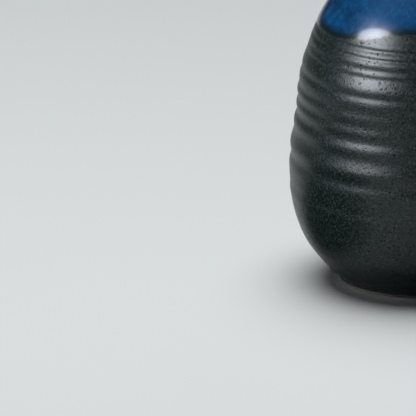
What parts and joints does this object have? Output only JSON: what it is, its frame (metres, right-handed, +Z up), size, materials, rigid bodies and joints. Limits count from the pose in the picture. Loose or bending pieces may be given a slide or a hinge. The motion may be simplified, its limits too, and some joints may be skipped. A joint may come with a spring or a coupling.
{
  "type": "sake bottle",
  "caption": "Wheel-thrown stoneware sake bottle: round belly, narrow neck and flared mouth, black glaze below and cobalt blue glaze over the shoulder and neck.",
  "frame": {"origin": "middle of the foot's underside, on the surface the bottle stands on", "axes": "+Z up along the axis the bottle was turned about, towards the mouth; +X and +Y are any two square directions, because the shape is round"},
  "size_m": [0.084, 0.084, 0.138],
  "materials": {
    "clay": "matte, bare fired stoneware",
    "black_glaze": "satin, finely pitted and speckled",
    "blue_glaze": "glossy, pooling darker, thinning to a dark edge",
    "lining_glaze": "satin, finely speckled",
    "recess_glaze": "satin, thin and brushed"
  },
  "bodies": {
    "root": {"clay_body": "clay", "outer_black_glaze": "black_glaze", "neck_blue_glaze": "blue_glaze", "inner_black_glaze": "lining_glaze", "foot_recess_glaze": "recess_glaze"}
  },
  "joints": []
}
